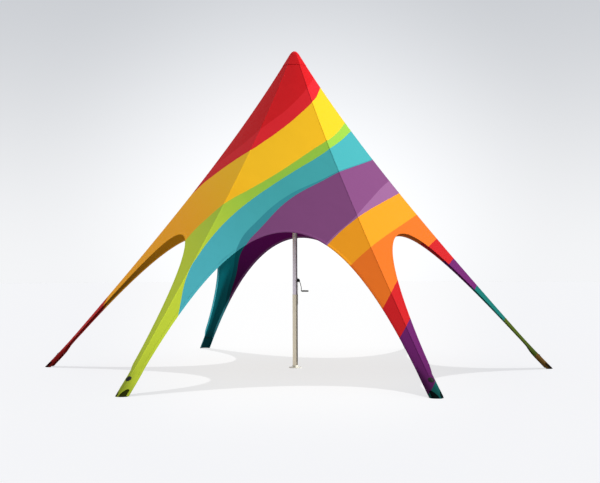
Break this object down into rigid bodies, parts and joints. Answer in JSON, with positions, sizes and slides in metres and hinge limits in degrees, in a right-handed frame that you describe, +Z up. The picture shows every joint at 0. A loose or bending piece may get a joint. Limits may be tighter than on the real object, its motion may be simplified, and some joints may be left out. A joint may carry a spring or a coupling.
{
  "type": "star tent",
  "caption": "Star-shaped event tent: a printed stretch of cloth on one telescopic crank mast, pulled down to legs around open archways.",
  "frame": {"origin": "centre of the base plate's underside, on the ground under the mast", "axes": "+Z up along the mast, -Y through the middle of the front archway, +X to the right towards the right leg, the side that the crank is on"},
  "size_m": [8.08, 7.0064, 5.042],
  "materials": {
    "printed_cloth": "tensioned polyester tent cloth, printed in bands of colour, satin",
    "peak_cloth": "doubled polyester tent cloth, red, satin",
    "mast_alloy": "drawn tube, satin anodised",
    "base_steel": "powder coated, pale",
    "zinc_steel": "zinc plated",
    "black_nylon": "moulded, matt",
    "grip_plastic": "moulded sleeve, matt",
    "bow_alloy": "rolled sheet, mill finish"
  },
  "bodies": {
    "canopy_and_base": {"panel_front": "printed_cloth", "panel_front_leg_left": "printed_cloth", "panel_front_leg_right": "printed_cloth", "panel_front_right": "printed_cloth", "panel_front_right_leg_left": "printed_cloth", "panel_front_right_leg_right": "printed_cloth", "panel_back_right": "printed_cloth", "panel_back_right_leg_left": "printed_cloth", "panel_back_right_leg_right": "printed_cloth", "panel_back": "printed_cloth", "panel_back_leg_left": "printed_cloth", "panel_back_leg_right": "printed_cloth", "panel_back_left": "printed_cloth", "panel_back_left_leg_left": "printed_cloth", "panel_back_left_leg_right": "printed_cloth", "panel_front_left": "printed_cloth", "panel_front_left_leg_left": "printed_cloth", "panel_front_left_leg_right": "printed_cloth", "peak_cap": "peak_cloth", "foot_bow_front_left": "bow_alloy", "foot_stud_front_left": "black_nylon", "foot_bow_front_right": "bow_alloy", "foot_stud_front_right": "black_nylon", "foot_bow_right": "bow_alloy", "foot_stud_right": "black_nylon", "foot_bow_back_right": "bow_alloy", "foot_stud_back_right": "black_nylon", "foot_bow_back_left": "bow_alloy", "foot_stud_back_left": "black_nylon", "foot_bow_left": "bow_alloy", "foot_stud_left": "black_nylon", "base_plate": "base_steel", "base_socket": "base_steel", "mast_lower_tube": "mast_alloy", "rack_strip": "zinc_steel"},
    "upper_mast": {"mast_upper_tube": "mast_alloy", "mast_head": "black_nylon", "gear_housing": "black_nylon"},
    "crank": {"crank_arm": "zinc_steel"},
    "grip": {"crank_grip": "grip_plastic"}
  },
  "joints": [
    {"name": "mast_slide", "type": "slide", "parent": "canopy_and_base", "child": "upper_mast", "axis": [0, 0, 1], "range_m": [-0.18, 0]},
    {"name": "crank_turn", "type": "hinge", "parent": "upper_mast", "child": "crank", "pos_m": [0.0673, 0, 1.385], "axis": [1, 0, 0], "continuous": true},
    {"name": "grip_spin", "type": "hinge", "parent": "crank", "child": "grip", "pos_m": [0.16, 0, 1.215], "axis": [1, 0, 0], "continuous": true}
  ],
  "couplings": [
    {"joint": "crank_turn", "follows": "mast_slide", "rad_per_m": 139.63}
  ]
}
